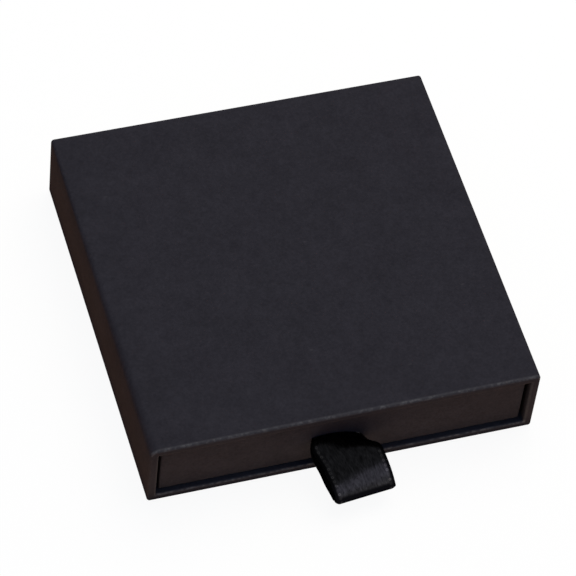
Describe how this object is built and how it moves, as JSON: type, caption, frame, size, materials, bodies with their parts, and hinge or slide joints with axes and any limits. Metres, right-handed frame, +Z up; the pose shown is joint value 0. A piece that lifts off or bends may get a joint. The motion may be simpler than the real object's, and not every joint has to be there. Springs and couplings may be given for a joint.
{
  "type": "sliding drawer gift box",
  "caption": "Flat square gift box of paper-wrapped board, with a drawer that slides out of the open front on a folded satin ribbon pull.",
  "frame": {"origin": "centre of the case's underside, on the surface that the box rests on", "axes": "+Z up, -Y towards the open front and the ribbon, +X to the right as seen from the front"},
  "size_m": [0.1, 0.1149, 0.021],
  "materials": {
    "greyboard": "raw grey fibre board, matte",
    "wrap_paper": "matte charcoal-black paper, very finely mottled",
    "lining_paper": "matte black paper",
    "stay_tape": "brown gummed paper tape",
    "satin_ribbon": "black single-face satin with picot selvedges"
  },
  "bodies": {
    "case": {"case_top_board": "greyboard", "case_bottom_board": "greyboard", "case_left_board": "greyboard", "case_right_board": "greyboard", "case_back_board": "greyboard", "case_corner_stays": "stay_tape", "case_wrap": "wrap_paper", "case_base_sheet": "lining_paper", "case_back_sheet": "wrap_paper", "case_lining": "lining_paper"},
    "drawer": {"drawer_base_board": "greyboard", "drawer_front_board": "greyboard", "drawer_back_board": "greyboard", "drawer_left_board": "greyboard", "drawer_right_board": "greyboard", "drawer_corner_stays": "stay_tape", "drawer_wrap": "wrap_paper", "drawer_floor_sheet": "lining_paper", "ribbon_pull": "satin_ribbon", "ribbon_patch": "lining_paper"}
  },
  "joints": [
    {"name": "drawer_slide", "type": "slide", "parent": "case", "child": "drawer", "axis": [0, -1, 0], "range_m": [0, 0.085]}
  ]
}
